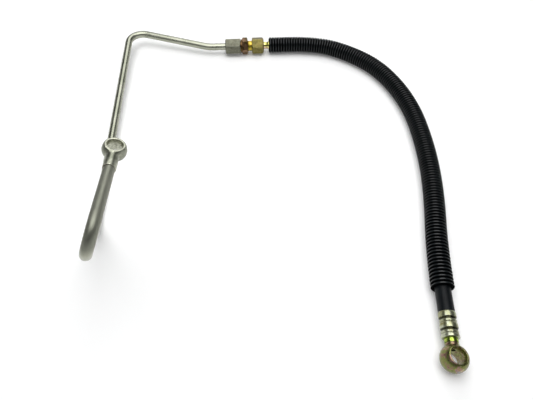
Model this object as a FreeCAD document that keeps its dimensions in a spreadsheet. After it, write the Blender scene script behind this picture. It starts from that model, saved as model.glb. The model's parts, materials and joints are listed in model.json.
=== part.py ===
"""Hydraulic hose assembly, in millimetres.

A bent steel pipe with a banjo eye is joined by a 24 degree cone union to a braided hose with a
second banjo eye. The assembly lies on a flat surface at Z = 0. X runs along the union's axis towards
the hose, Y across the surface and Z up. The origin is the middle of the fittings' box, at its bottom.
"""
import FreeCAD, Part
import math
import os

import Sketcher
from FreeCAD import Placement, Rotation, Vector

# Name, value in millimetres (or degrees where the note says so) and what it is.
DIMENSIONS = [
    ("union_x", -4.7, "union centre, along X"),
    ("union_y", 183.6, "union centre, along Y"),
    ("axis_height", 9.8, "union axis above the surface"),
    ("hose_height", 9.25, "hose axis above the surface"),
    ("pipe_outer", 8.0, "steel pipe, outside"),
    ("pipe_inner", 5.0, "steel pipe, inside"),
    ("kink_radius", 40.0, "pipe bend beside the union"),
    ("corner_radius", 16.0, "pipe bend at the corner"),
    ("lower_hook_radius", 25.0, "pipe bend where it leaves the surface"),
    ("upper_hook_radius", 16.0, "pipe bend at the top of the hook"),
    ("pipe_stop", 6.5, "pipe's end face, from the union's centre"),
    ("socket_gap", 0.05, "radial gap of a sliding or turning fit"),
    ("thread_major", 14.0, "M14 thread, over the crests"),
    ("thread_minor", 12.3, "M14 thread, at the roots"),
    ("thread_pitch", 1.5, "thread pitch"),
    ("hex_flats", 17.0, "across flats, both nuts and the union"),
    ("hex_chamfer", 16.4, "diameter at which a hexagon's end chamfer starts"),
    ("pipe_nut_crown", 15.0, "diameter at which the pipe nut's far chamfer starts"),
    ("hose_nut_crown", 14.4, "diameter at which the hose nut's far chamfer starts"),
    ("union_hex_angle", 55.2, "a corner of the union's hexagon, degrees from Y towards Z"),
    ("pipe_nut_angle", 25.2, "a corner of the pipe nut, degrees from Y towards Z"),
    ("hose_nut_angle", 39.2, "a corner of the hose nut, degrees from Y towards Z"),
    ("union_hex_width", 6.8, "union hexagon, along the axis"),
    ("union_pipe_end", 13.5, "union's end face on the pipe side"),
    ("union_hose_end", 16.7, "union's end face on the hose side"),
    ("union_collar_outer", 15.4, "collar beside the union's hexagon, on the pipe side"),
    ("union_collar_end", 5.2, "end of that collar"),
    ("pipe_relief_end", 5.6, "end of the thread relief on the pipe side"),
    ("hose_relief_end", 8.2, "end of the thread relief on the hose side"),
    ("relief_outer", 11.6, "thread relief diameter"),
    ("union_bore", 6.0, "oil passage through the union"),
    ("cone_mouth", 10.2, "24 degree cone, widest diameter"),
    ("cone_taper", 0.4251, "24 degree cone, diameter lost per millimetre"),
    ("cone_gap", 0.06, "radial gap between a cone and the piece inside it"),
    ("hose_cone_depth", 5.8, "depth of the cone on the hose side"),
    ("pipe_nut_near", 5.5, "pipe nut's end nearest to the union's centre"),
    ("pipe_nut_far", 23.7, "pipe nut's far end"),
    ("hose_nut_near", 8.5, "hose nut's end nearest to the union's centre"),
    ("hose_nut_far", 22.7, "hose nut's far end"),
    ("pipe_nut_seat", 15.05, "start of the pipe nut's 45 degree cone"),
    ("hose_nut_seat", 19.29, "start of the hose nut's 45 degree cone"),
    ("nut_cone", 12.1, "both nuts' 45 degree cone, widest diameter"),
    ("ring_tip", 9.4, "cutting ring's tip, from the union's centre"),
    ("ring_shoulder_start", 13.8, "start of the cutting ring's shoulder"),
    ("ring_shoulder_end", 15.6, "end of the cutting ring's shoulder"),
    ("ring_outer", 10.9, "cutting ring's shoulder"),
    ("ring_tail", 8.5, "cutting ring's tail end"),
    ("nipple_bore", 4.0, "oil passage through both nipples"),
    ("nipple_tip", 10.95, "nipple's tip, from the union's centre"),
    ("o_ring_groove_start", 13.1, "start of the O-ring's groove"),
    ("o_ring_groove_end", 14.8, "end of the O-ring's groove"),
    ("o_ring_groove", 5.8, "floor of the O-ring's groove"),
    ("shoulder_foot", 17.6, "foot of the nipple's shoulder, from the union's centre"),
    ("shoulder_start", 18.2, "start of the shoulder's full diameter"),
    ("shoulder_end", 19.4, "end of the shoulder's full diameter"),
    ("shoulder_outer", 11.6, "nipple's shoulder that the hose nut pulls on"),
    ("stem_outer", 8.0, "nipple's stem behind the hose nut"),
    ("stem_end", 25.4, "end of the stem, where the waist starts"),
    ("waist_place", 26.3, "narrowest place of the waist"),
    ("waist_outer", 7.0, "waist between the stem and the collar"),
    ("collar_start", 28.2, "start of the nipple's collar"),
    ("collar_outer", 9.4, "nipple's collars on both sides of the ferrule lip"),
    ("o_ring_centre", 3.62, "radius of the O-ring's centre circle"),
    ("o_ring_section", 0.7, "radius of the O-ring's own section"),
    ("o_ring_place", 13.95, "O-ring's middle, from the union's centre"),
    ("ferrule_start", 29.3, "upper ferrule's lip, from the union's centre"),
    ("ferrule_length", 20.2, "both ferrules"),
    ("ferrule_outer", 13.6, "ferrules, over the crimped bulges"),
    ("ferrule_groove", 12.0, "ferrules, at the crimp grooves"),
    ("ferrule_ridge", 12.8, "ferrules, at the narrow ridge between two grooves"),
    ("ferrule_bore", 10.7, "ferrules, around the braid"),
    ("ferrule_lip", 2.4, "thickness of a ferrule's lip"),
    ("mouth_edge", 0.6, "length of the rounded edge at a ferrule's mouth"),
    ("mouth_drop", 0.35, "depth of that edge"),
    ("lip_edge", 0.5, "chamfer at a ferrule's lip"),
    ("crimp_pitch", 8.6, "from one crimp to the next along a ferrule"),
    ("bulge_end", 4.4, "end of a bulge, from its crimp's start"),
    ("groove_start", 5.0, "start of a crimp groove"),
    ("ridge_foot", 6.1, "foot of the narrow ridge"),
    ("ridge_start", 6.5, "start of the narrow ridge"),
    ("ridge_end", 7.7, "end of the narrow ridge"),
    ("ridge_far_foot", 8.1, "far foot of the narrow ridge"),
    ("liner_inner", 6.3, "hose liner, inside"),
    ("liner_outer", 8.9, "hose liner, outside"),
    ("braid_inner", 9.1, "wire braid, inside"),
    ("braid_outer", 10.6, "wire braid, outside"),
    ("cover_inner", 10.8, "rubber cover, inside"),
    ("cover_outer", 12.5, "rubber cover, outside"),
    ("sleeve_inner", 14.3, "convoluted sleeve, inside"),
    ("sleeve_outer", 18.5, "convoluted sleeve, over its ribs"),
    ("sleeve_start", 29.0, "sleeve's first end, from the union's centre"),
    ("sleeve_stop", 20.5, "bare hose between the sleeve and the lower ferrule"),
    ("tail_clearance", 1.6, "gap between a hose layer's end and the ferrule's lip"),
    ("tail_tip", 1.5, "hose tail's end, from the ferrule's mouth"),
    ("tail_tip_outer", 5.7, "hose tail's end, diameter"),
    ("tail_collar", 1.0, "width of the hose tail's collar inside the ferrule"),
    ("tail_first_groove", 5.2, "first groove of a hose tail, from the ferrule's lip"),
    ("tail_groove_pitch", 4.2, "from one groove of a hose tail to the next"),
    ("tail_groove_floor", 2.6, "length of a groove's floor"),
    ("tail_groove_rise", 0.8, "length of a groove's rising side"),
    ("tail_groove_depth", 0.35, "depth of a groove"),
    ("neck_outer", 10.3, "lower nipple's neck"),
    ("neck_end", 23.5, "end of that neck, from the lower ferrule's mouth"),
    ("spigot_outer", 7.0, "lower nipple's spigot in the eye"),
    ("spigot_end", 26.6, "end of that spigot, from the lower ferrule's mouth"),
    ("braze_width", 0.4, "width of the lower braze ring"),
    ("braze_outer", 9.6, "lower braze ring, outside"),
    ("hose_eye_reach", 34.8, "hose eye's centre, from the lower ferrule's mouth"),
    ("hose_eye_ball", 20.6, "hose eye's ball"),
    ("hose_eye_width", 15.0, "hose eye, between its sealing faces"),
    ("hose_eye_bore", 12.1, "hose eye's bolt hole"),
    ("hose_eye_tilt", 9.0, "hose eye's bore from the vertical, degrees"),
    ("pipe_eye_ball", 17.4, "pipe eye's ball"),
    ("pipe_eye_width", 10.0, "pipe eye, between its sealing faces"),
    ("pipe_eye_bore", 11.2, "pipe eye's bolt hole"),
    ("pipe_eye_tilt", 19.0, "pipe eye's bore from the vertical, degrees"),
    ("pipe_eye_stub", 20.0, "end of the pipe eye's stub, from its centre"),
    ("pipe_eye_stub_outer", 9.2, "pipe eye's stub"),
    ("pipe_insertion", 6.5, "length of pipe inside the stub"),
    ("stub_flare", 0.8, "depth and height of the braze in the stub's mouth"),
    ("eye_passage", 4.0, "oil passage from the stub to the bore"),
    ("eye_chamfer", 0.4, "chamfer on the bolt holes"),
]

# The pipe's corners, from the union's centre on the surface: beside the nut, at the far corner, where
# it leaves the surface and at the top of the hook. The last point is the pipe eye's centre.
PIPE_CORNERS = [
    Vector(-43.8, 0.0, 9.8),
    Vector(-140.3, 28.4, 16.0),
    Vector(-138.8, -250.0, 3.5),
    Vector(-94.7, -357.0, 118.7),
    Vector(-94.2, -256.0, 106.4),
]

# The hose's route, from the union's centre on the surface, from ferrule mouth to ferrule mouth.
HOSE_ROUTE = [
    Vector(49.5, 0.0, 9.8),
    Vector(88.5, 0.0, 9.8),
    Vector(131.5, -25.4, 9.25),
    Vector(159.2, -59.5, 9.25),
    Vector(176.0, -114.5, 9.25),
    Vector(176.5, -175.0, 9.25),
    Vector(169.5, -232.0, 9.25),
    Vector(153.3, -300.0, 9.25),
    Vector(146.9, -349.4, 9.25),
]
CORD_ARC_SHARE = 0.45  # of the shorter of the two runs that meet at a point
CORNER_REACH = 4  # how far out a chamfer cut starts, beyond hex_chamfer's radius
CUT_MARGIN = 1  # how far a cut runs past the face it starts from
THREAD_TURNS = 5
TAIL_GROOVES = 3
SKETCH_START = 10  # size of the regular polygon that a sketch starts as, before its expressions act

doc = FreeCAD.newDocument("HoseAssembly")
sheet = doc.addObject("Spreadsheet::Sheet", "Dims")
for row, (name, value, note) in enumerate(DIMENSIONS, start=1):
    sheet.set(f"A{row}", name)
    sheet.set(f"B{row}", str(value))
    sheet.set(f"C{row}", note)
    sheet.setAlias(f"B{row}", name)
doc.recompute()

sub_parts = {}


def size(name):
    """A driving dimension as a number."""
    return float(sheet.get(name))


def keep(node, thing):
    """Name a finished sub-part; the name is its file's."""
    thing.Label = node
    sub_parts[node] = thing
    return thing


# Pieces that lie along the union's axis share this frame.
union_frame = Placement(Vector(size("union_x"), size("union_y"), size("axis_height")), Rotation())
surface_point = Vector(size("union_x"), size("union_y"), 0)


def origin_feature(body, role):
    return next(item for item in body.Origin.OriginFeatures if item.Role == role)


def outline(body, name, plane, points, offset=0.0):
    """A closed sketch through points, each a pair of expressions that fix its place."""
    sketch = body.newObject("Sketcher::SketchObject", name)
    sketch.AttachmentSupport = (origin_feature(body, plane), [""])
    sketch.MapMode = "FlatFace"
    if offset:
        sketch.setExpression("AttachmentOffset.Base.z", offset)
    count = len(points)
    middle = Vector(0, 2 * SKETCH_START, 0)
    turn = [math.tau * k / count for k in range(count)]
    spots = [middle + Vector(math.cos(a), math.sin(a), 0) * SKETCH_START for a in turn]
    for k in range(count):
        sketch.addGeometry(Part.LineSegment(spots[k], spots[(k + 1) % count]), False)
    for k in range(count):
        sketch.addConstraint(Sketcher.Constraint("Coincident", k, 2, (k + 1) % count, 1))
    for k, (across, up) in enumerate(points):
        for kind, value, start in (("DistanceX", across, spots[k].x), ("DistanceY", up, spots[k].y)):
            number = sketch.addConstraint(Sketcher.Constraint(kind, -1, 1, k, 1, start))
            sketch.setExpression(f"Constraints[{number}]", value)
    return sketch


def revolve(body, name, sketch, kind="PartDesign::Revolution"):
    feature = body.newObject(kind, name)
    feature.Profile = sketch
    feature.ReferenceAxis = (sketch, ["H_Axis"])
    feature.Angle = 360.0
    body.Tip = feature
    return feature


def new_body(node, frame):
    body = keep(node, doc.addObject("PartDesign::Body", f"Body_{node}"))
    body.Placement = frame
    return body


def turned(node, frame, points):
    """A piece turned on a lathe: one closed outline, spun about its own X axis."""
    body = new_body(node, frame)
    revolve(body, f"Turn_{node}", outline(body, f"Outline_{node}", "XY_Plane", points))
    return body


def radius(name, change=0.0):
    return f"Dims.{name} / 2 + {change}"


def hexagon(angle):
    """A hexagon's corners; angle names one corner's direction."""
    corner = "Dims.hex_flats / 2 / cos(30 deg)"
    turns = [f"(Dims.{angle} * 1 deg + {60 * k} deg)" for k in range(6)]
    return [(f"{corner} * cos{turn}", f"{corner} * sin{turn}") for turn in turns]


def hex_prism(body, start, length, angle):
    """A hexagonal bar along X; start and length are expressions and angle is a name."""
    node = body.Label
    sketch = outline(body, f"Hexagon_{node}", "YZ_Plane", hexagon(angle), start)
    pad = body.newObject("PartDesign::Pad", f"Bar_{node}")
    pad.Profile = sketch
    pad.setExpression("Length", length)
    body.Tip = pad


def break_corners(body, ends):
    """Turn the hexagon's corners off at its ends.

    Each end is (name, expression, outward sign, name of the diameter at which its chamfer starts).
    """
    for name, place, sign, start in ends:
        points = [
            (place, radius(start)),
            (f"{place} + {sign} * {CUT_MARGIN}", radius(start)),
            (f"{place} + {sign} * {CUT_MARGIN}", radius(start, CORNER_REACH)),
            (f"{place} - {sign} * {CORNER_REACH} * tan(30 deg)", radius(start, CORNER_REACH)),
        ]
        sketch = outline(body, f"Corners_{name}", "XY_Plane", points)
        revolve(body, f"Break_{name}", sketch, "PartDesign::Groove")


def inside_cone(depth):
    """The radius of a piece that sits in a 24 degree cone, at a depth from the cone's mouth."""
    return f"(Dims.cone_mouth - Dims.cone_taper * ({depth})) / 2 - Dims.cone_gap"


def thread_rings(start, sign):
    """Crests and roots of a thread drawn as rings, from an expression outwards along X."""
    points = []
    for k in range(THREAD_TURNS):
        for share, level in ((0.1, "minor"), (0.4, "major"), (0.6, "major"), (0.9, "minor")):
            place = f"{start} + {sign} * Dims.thread_pitch * {k + share}"
            points.append((place, radius(f"thread_{level}")))
    return points


def make_union():
    """The union: a hexagon between two M14 ends, with a 24 degree cone in each."""
    body = new_body("union_body", union_frame)
    hex_prism(body, "-Dims.union_hex_width / 2", "Dims.union_hex_width", "union_hex_angle")
    left = "-Dims.union_pipe_end"
    right = "Dims.union_hose_end"
    rings_left = thread_rings("-Dims.pipe_relief_end", -1)
    rings_right = thread_rings("Dims.hose_relief_end", 1)
    collar = radius("union_collar_outer")
    outer = [("-Dims.union_hex_width / 4", "0"), ("-Dims.union_hex_width / 4", collar)]
    outer += [("-Dims.union_collar_end", collar), ("-Dims.union_collar_end", radius("relief_outer"))]
    outer += [("-Dims.pipe_relief_end", radius("relief_outer"))] + rings_left
    outer += [(left, radius("thread_minor")), (left, "0")]
    revolve(body, "Pipe_end", outline(body, "Pipe_end_outline", "XY_Plane", outer))
    outer = [("Dims.union_hex_width / 4", "0"), ("Dims.union_hex_width / 4", radius("relief_outer"))]
    outer += [("Dims.hose_relief_end", radius("relief_outer"))] + rings_right
    outer += [(right, radius("thread_minor")), (right, "0")]
    revolve(body, "Hose_end", outline(body, "Hose_end_outline", "XY_Plane", outer))
    half_mouth = radius("cone_mouth")
    socket = "Dims.pipe_outer / 2 + Dims.socket_gap"
    pipe_cone_depth = f"(Dims.cone_mouth - 2 * ({socket})) / Dims.cone_taper"
    hose_cone_end = "Dims.union_hose_end - Dims.hose_cone_depth"
    bore = [
        (f"{left} - {CUT_MARGIN}", "0"),
        (f"{left} - {CUT_MARGIN}", half_mouth),
        (left, half_mouth),
        (f"{left} + {pipe_cone_depth}", socket),
        ("-Dims.pipe_stop", socket),
        ("-Dims.pipe_stop", radius("union_bore")),
        (hose_cone_end, radius("union_bore")),
        (hose_cone_end, "(Dims.cone_mouth - Dims.cone_taper * Dims.hose_cone_depth) / 2"),
        (right, half_mouth),
        (f"{right} + {CUT_MARGIN}", half_mouth),
        (f"{right} + {CUT_MARGIN}", "0"),
    ]
    revolve(body, "Bore", outline(body, "Bore_outline", "XY_Plane", bore), "PartDesign::Groove")
    break_corners(
        body,
        [
            ("union_left", "-Dims.union_hex_width / 2", -1, "hex_chamfer"),
            ("union_right", "Dims.union_hex_width / 2", 1, "hex_chamfer"),
        ],
    )


def make_nut(node, sign, crown):
    """A nut on the union's side that sign gives, whose end wall pulls a 45 degree shoulder.

    Crown names the diameter at which its far end's chamfer starts.
    """
    body = new_body(node, union_frame)
    near = f"Dims.{node}_near"
    far = f"Dims.{node}_far"
    seat = f"Dims.{node}_seat"
    hex_prism(body, near if sign > 0 else f"-{far}", f"{far} - {near}", f"{node}_angle")
    threaded = "Dims.thread_major / 2 + Dims.socket_gap"
    stem = "Dims.pipe_outer / 2 + 2 * Dims.socket_gap"
    inside = [
        (f"{sign} * ({near} - {CUT_MARGIN})", "0"),
        (f"{sign} * ({near} - {CUT_MARGIN})", threaded),
        (f"{sign} * {seat}", threaded),
        (f"{sign} * {seat}", radius("nut_cone")),
        (f"{sign} * ({seat} + Dims.nut_cone / 2 - ({stem}))", stem),
        (f"{sign} * ({far} + {CUT_MARGIN})", stem),
        (f"{sign} * ({far} + {CUT_MARGIN})", "0"),
    ]
    sketch = outline(body, f"Inside_outline_{node}", "XY_Plane", inside)
    revolve(body, f"Inside_{node}", sketch, "PartDesign::Groove")
    open_end = (f"{node}_near", f"{sign} * {near}", -sign, "hex_chamfer")
    far_end = (f"{node}_far", f"{sign} * {far}", sign, crown)
    break_corners(body, [open_end, far_end])


def make_cutting_ring():
    """The 24 degree cutting ring, pressed on the pipe inside the pipe nut."""
    bore = radius("pipe_outer")
    tail = "-Dims.ring_shoulder_end - (Dims.ring_outer - Dims.ring_tail) / 2"
    points = [
        ("-Dims.ring_tip", bore),
        ("-Dims.ring_tip", inside_cone("Dims.union_pipe_end - Dims.ring_tip")),
        ("-Dims.union_pipe_end", inside_cone("0")),
        ("-Dims.ring_shoulder_start", inside_cone("0")),
        ("-Dims.ring_shoulder_start", radius("ring_outer")),
        ("-Dims.ring_shoulder_end", radius("ring_outer")),
        (tail, radius("ring_tail")),
        (tail, bore),
    ]
    turned("cutting_ring", union_frame, points)


def make_hose_nipple():
    """The hose nipple: a 24 degree cone with an O-ring, the nut's shoulder, a stem and a hose tail."""
    bore = radius("nipple_bore")
    lip = "Dims.ferrule_start"
    collar_end = "Dims.ferrule_start + Dims.ferrule_lip + Dims.tail_collar"
    tail_end = "Dims.ferrule_start + Dims.ferrule_length - Dims.tail_tip"
    groove_start = "Dims.o_ring_groove_start"
    groove_end = "Dims.o_ring_groove_end"
    points = [
        ("Dims.nipple_tip", bore),
        ("Dims.nipple_tip", inside_cone("Dims.union_hose_end - Dims.nipple_tip")),
        (groove_start, inside_cone(f"Dims.union_hose_end - {groove_start}")),
        (groove_start, radius("o_ring_groove")),
        (groove_end, radius("o_ring_groove")),
        (groove_end, inside_cone(f"Dims.union_hose_end - {groove_end}")),
        ("Dims.union_hose_end", inside_cone("0")),
        ("Dims.shoulder_foot", inside_cone("0")),
        ("Dims.shoulder_start", radius("shoulder_outer")),
        ("Dims.shoulder_end", radius("shoulder_outer")),
        ("Dims.shoulder_end + (Dims.shoulder_outer - Dims.stem_outer) / 2", radius("stem_outer")),
        ("Dims.stem_end", radius("stem_outer")),
        ("Dims.waist_place", radius("waist_outer")),
        ("Dims.collar_start", radius("collar_outer")),
        (lip, radius("collar_outer")),
        (lip, radius("stem_outer")),
        (f"{lip} + Dims.ferrule_lip", radius("stem_outer")),
        (f"{lip} + Dims.ferrule_lip", radius("collar_outer")),
        (collar_end, radius("collar_outer")),
        (collar_end, radius("liner_inner")),
    ]
    points += tail_ridges("Dims.ferrule_start + Dims.tail_first_groove", 1)
    points += [(tail_end, radius("tail_tip_outer")), (tail_end, bore)]
    turned("hose_nipple", union_frame, points)


def tail_ridges(start, sign):
    """Shallow grooves in a hose tail, whose lands fill the liner."""
    land = radius("liner_inner")
    floor = f"{land} - Dims.tail_groove_depth"
    floor_end = "Dims.tail_groove_floor"
    points = []
    for k in range(TAIL_GROOVES):
        groove = f"{start} + {sign} * {k} * Dims.tail_groove_pitch"
        points += [(groove, land), (groove, floor)]
        points.append((f"{groove} + {sign} * {floor_end}", floor))
        points.append((f"{groove} + {sign} * ({floor_end} + Dims.tail_groove_rise)", land))
    return points


def crimped_ferrule(node, frame):
    """A crimped ferrule from its mouth, at X = 0, to its lip."""
    long = "Dims.ferrule_length"
    outer = radius("ferrule_outer")
    groove = radius("ferrule_groove")
    ridge = radius("ferrule_ridge")
    points = [("0", radius("ferrule_bore")), ("0", f"{outer} - Dims.mouth_drop"), ("Dims.mouth_edge", outer)]
    for k in range(2):
        crimp = f"{k} * Dims.crimp_pitch"
        points += [
            (f"{crimp} + Dims.bulge_end", outer),
            (f"{crimp} + Dims.groove_start", groove),
            (f"{crimp} + Dims.ridge_foot", groove),
            (f"{crimp} + Dims.ridge_start", ridge),
            (f"{crimp} + Dims.ridge_end", ridge),
            (f"{crimp} + Dims.ridge_far_foot", groove),
            (f"{crimp} + Dims.crimp_pitch + Dims.mouth_edge", outer),
        ]
    points += [
        (f"{long} - Dims.lip_edge", outer),
        (long, f"{outer} - Dims.lip_edge"),
        (long, radius("stem_outer")),
        (f"{long} - Dims.ferrule_lip", radius("stem_outer")),
        (f"{long} - Dims.ferrule_lip", radius("ferrule_bore")),
    ]
    turned(node, frame, points)


def make_lower_nipple(frame):
    """The lower nipple, from its hose tail to the spigot that is brazed into the hose eye."""
    lip = "Dims.ferrule_length - Dims.ferrule_lip"
    points = [("Dims.tail_tip", radius("nipple_bore")), ("Dims.tail_tip", radius("tail_tip_outer"))]
    points += list(reversed(tail_ridges("Dims.ferrule_length - Dims.tail_first_groove", -1)))
    points += [
        (f"{lip} - Dims.tail_collar", radius("liner_inner")),
        (f"{lip} - Dims.tail_collar", radius("collar_outer")),
        (lip, radius("collar_outer")),
        (lip, radius("stem_outer")),
        ("Dims.ferrule_length", radius("stem_outer")),
        ("Dims.ferrule_length", radius("neck_outer")),
        ("Dims.neck_end", radius("neck_outer")),
        ("Dims.neck_end", radius("spigot_outer")),
        ("Dims.spigot_end", radius("spigot_outer")),
        ("Dims.spigot_end", radius("nipple_bore")),
    ]
    turned("lower_nipple", frame, points)


def cylinder(name, diameter, length, frame):
    """A cylinder along the frame's Z axis; diameter and length are expressions."""
    thing = doc.addObject("Part::Cylinder", name)
    thing.setExpression("Radius", f"({diameter}) / 2")
    thing.setExpression("Height", length)
    thing.Placement = frame
    return thing


def cone(name, small, large, height, frame):
    """A cone along the frame's Z axis; all three sizes are expressions."""
    thing = doc.addObject("Part::Cone", name)
    thing.setExpression("Radius1", small)
    thing.setExpression("Radius2", large)
    thing.setExpression("Height", height)
    thing.Placement = frame
    return thing


def joined(kind, name, things):
    result = doc.addObject(kind, name)
    result.Shapes = things
    return result


def cut(name, base, tool):
    result = doc.addObject("Part::Cut", name)
    result.Base = base
    result.Tool = tool
    return result


def node_size(node):
    """The prefix of an eye's sizes in the sheet."""
    return node.replace("_banjo", "")


def make_eye(node, frame, stub_length, stub_outer, socket_outer, socket_depth, extra):
    """A banjo eye: a ball with two flat faces, a bolt hole along Z and a stub along -Y.

    The stub's and the socket's sizes are expressions, and extra holds further solids to cut away.
    """
    prefix = node_size(node)
    ball = doc.addObject("Part::Sphere", f"{node}_ball")
    latitude = f"asin(Dims.{prefix}_width / Dims.{prefix}_ball)"
    ball.setExpression("Radius", f"Dims.{prefix}_ball / 2")
    ball.setExpression("Angle1", f"-{latitude}")
    ball.setExpression("Angle2", latitude)
    ball.Placement = frame
    towards_stub = Rotation(Vector(1, 0, 0), 90)
    stub_frame = frame * Placement(Vector(), towards_stub)
    stub = cylinder(f"{node}_stub", stub_outer, stub_length, stub_frame)
    solid = joined("Part::MultiFuse", f"{node}_solid", [ball, stub])
    half = size(f"{prefix}_width") / 2
    chamfer = size("eye_chamfer")
    hole_start = frame * Placement(Vector(0, 0, -half - CUT_MARGIN), Rotation())
    hole_length = f"Dims.{prefix}_width + {2 * CUT_MARGIN}"
    hole = cylinder(f"{node}_hole", f"Dims.{prefix}_bore", hole_length, hole_start)
    small = f"Dims.{prefix}_bore / 2"
    large = f"Dims.{prefix}_bore / 2 + Dims.eye_chamfer"
    top = frame * Placement(Vector(0, 0, half - chamfer), Rotation())
    under = frame * Placement(Vector(0, 0, -half + chamfer), Rotation(Vector(1, 0, 0), 180))
    upper_chamfer = cone(f"{node}_chamfer_top", small, large, "Dims.eye_chamfer", top)
    lower_chamfer = cone(f"{node}_chamfer_under", small, large, "Dims.eye_chamfer", under)
    passage = cylinder(f"{node}_passage", "Dims.eye_passage", stub_length, stub_frame)
    socket_frame = frame * Placement(Vector(0, -socket_depth, 0), towards_stub)
    socket = cylinder(f"{node}_socket", socket_outer, stub_length, socket_frame)
    hollows = [hole, upper_chamfer, lower_chamfer, passage, socket] + extra
    tool = joined("Part::MultiFuse", f"{node}_hollow", hollows)
    keep(node, cut(f"{node}_piece", solid, tool))


def rounded_route(points, radii):
    """Straight runs joined by tangent arcs, as one wire."""
    edges = []
    here = points[0]
    for k, bend in enumerate(radii, start=1):
        back = (points[k - 1] - points[k]).normalize()
        ahead = (points[k + 1] - points[k]).normalize()
        half_turn = (math.pi - back.getAngle(ahead)) / 2
        setback = bend * math.tan(half_turn)
        start = points[k] + back * setback
        end = points[k] + ahead * setback
        inward = (back + ahead).normalize()
        middle = points[k] + inward * (bend / math.cos(half_turn) - bend)
        edges.append(Part.LineSegment(here, start).toShape())
        edges.append(Part.Arc(start, middle, end).toShape())
        here = end
    edges.append(Part.LineSegment(here, points[-1]).toShape())
    return Part.Wire(edges)


def cord_radii(points):
    """The arc at each corner of a free route, as large as its two runs allow."""
    radii = []
    for k in range(1, len(points) - 1):
        back = points[k - 1] - points[k]
        ahead = points[k + 1] - points[k]
        half_turn = (math.pi - back.getAngle(ahead)) / 2
        radii.append(CORD_ARC_SHARE * min(back.Length, ahead.Length) / math.tan(half_turn))
    return radii


def tube(node, points, radii, inner, outer):
    """A tube along a route; inner and outer name its diameters."""
    spine = doc.addObject("Part::Feature", f"{node}_line")
    spine.Shape = rounded_route(points, radii)
    edges = [f"Edge{k + 1}" for k in range(len(spine.Shape.Edges))]
    facing = Placement(points[0], Rotation(Vector(0, 0, 1), points[1] - points[0]))
    sweeps = []
    for wall, name in (("outside", outer), ("inside", inner)):
        circle = doc.addObject("Part::Circle", f"{node}_{wall}_circle")
        circle.setExpression("Radius", f"Dims.{name} / 2")
        circle.Placement = facing
        sweep = doc.addObject("Part::Sweep", f"{node}_{wall}")
        sweep.Sections = [circle]
        sweep.Spine = (spine, edges)
        sweep.Solid = True
        sweeps.append(sweep)
    thing = keep(node, cut(f"{node}_piece", sweeps[0], sweeps[1]))
    section = math.pi * (size(outer) ** 2 - size(inner) ** 2) / 4
    return thing, section * spine.Shape.Length, spine.Shape.Length


def aimed(origin, along, up):
    """A frame whose X axis runs along a direction, with Z as near to up as it can be."""
    return Placement(origin, Rotation(along, Vector(), up, "XZY"))


def eye_frame(centre, away, tilt):
    """An eye's frame: its stub points away along -Y and its bore leans tilt degrees towards +X."""
    lean = Vector(math.sin(math.radians(tilt)), 0, math.cos(math.radians(tilt)))
    return Placement(centre, Rotation(Vector(), away * -1, lean, "YZX"))


make_union()
make_nut("pipe_nut", -1, "pipe_nut_crown")
make_nut("hose_nut", 1, "hose_nut_crown")
make_cutting_ring()
make_hose_nipple()
upper_mouth = Vector(size("ferrule_start") + size("ferrule_length"), 0, 0)
crimped_ferrule("upper_ferrule", union_frame * Placement(upper_mouth, Rotation(Vector(0, 0, 1), 180)))

ring_frame = union_frame * Placement(Vector(size("o_ring_place"), 0, 0), Rotation(Vector(0, 1, 0), 90))
o_ring = keep("nipple_o_ring", doc.addObject("Part::Torus", "O_ring"))
o_ring.setExpression("Radius1", "Dims.o_ring_centre")
o_ring.setExpression("Radius2", "Dims.o_ring_section")
o_ring.Placement = ring_frame

# The steel pipe and its eye.
corners = [surface_point + corner for corner in PIPE_CORNERS]
pipe_eye_centre = corners.pop()
leg = (corners[-1] - pipe_eye_centre).normalize()
pipe_end = pipe_eye_centre + leg * (size("pipe_eye_stub") - size("pipe_insertion"))
pipe_start = Vector(size("union_x") - size("pipe_stop"), size("union_y"), size("axis_height"))
bends = [size(f"{name}_radius") for name in ("kink", "corner", "lower_hook", "upper_hook")]
pipe_tube = tube("steel_pipe", [pipe_start] + corners + [pipe_end], bends, "pipe_inner", "pipe_outer")
pipe_eye = eye_frame(pipe_eye_centre, leg, size("pipe_eye_tilt"))
mouth_reach = size("pipe_eye_stub") - size("stub_flare")
stub_mouth = pipe_eye * Placement(Vector(0, -mouth_reach, 0), Rotation(Vector(1, 0, 0), 90))
pipe_radius = radius("pipe_outer")
flared = f"{pipe_radius} + Dims.stub_flare / 2"
mouth_cut = cone("pipe_banjo_eye_mouth", pipe_radius, flared, "Dims.stub_flare", stub_mouth)
make_eye(
    "pipe_banjo_eye",
    pipe_eye,
    "Dims.pipe_eye_stub",
    "Dims.pipe_eye_stub_outer",
    "Dims.pipe_outer",
    size("pipe_eye_stub") - size("pipe_insertion"),
    [mouth_cut],
)
turned(
    "pipe_braze_ring",
    aimed(pipe_eye_centre + leg * mouth_reach, leg, Vector(0, 0, 1)),
    [("0", pipe_radius), ("Dims.stub_flare", flared), ("Dims.stub_flare", pipe_radius)],
)

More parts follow.
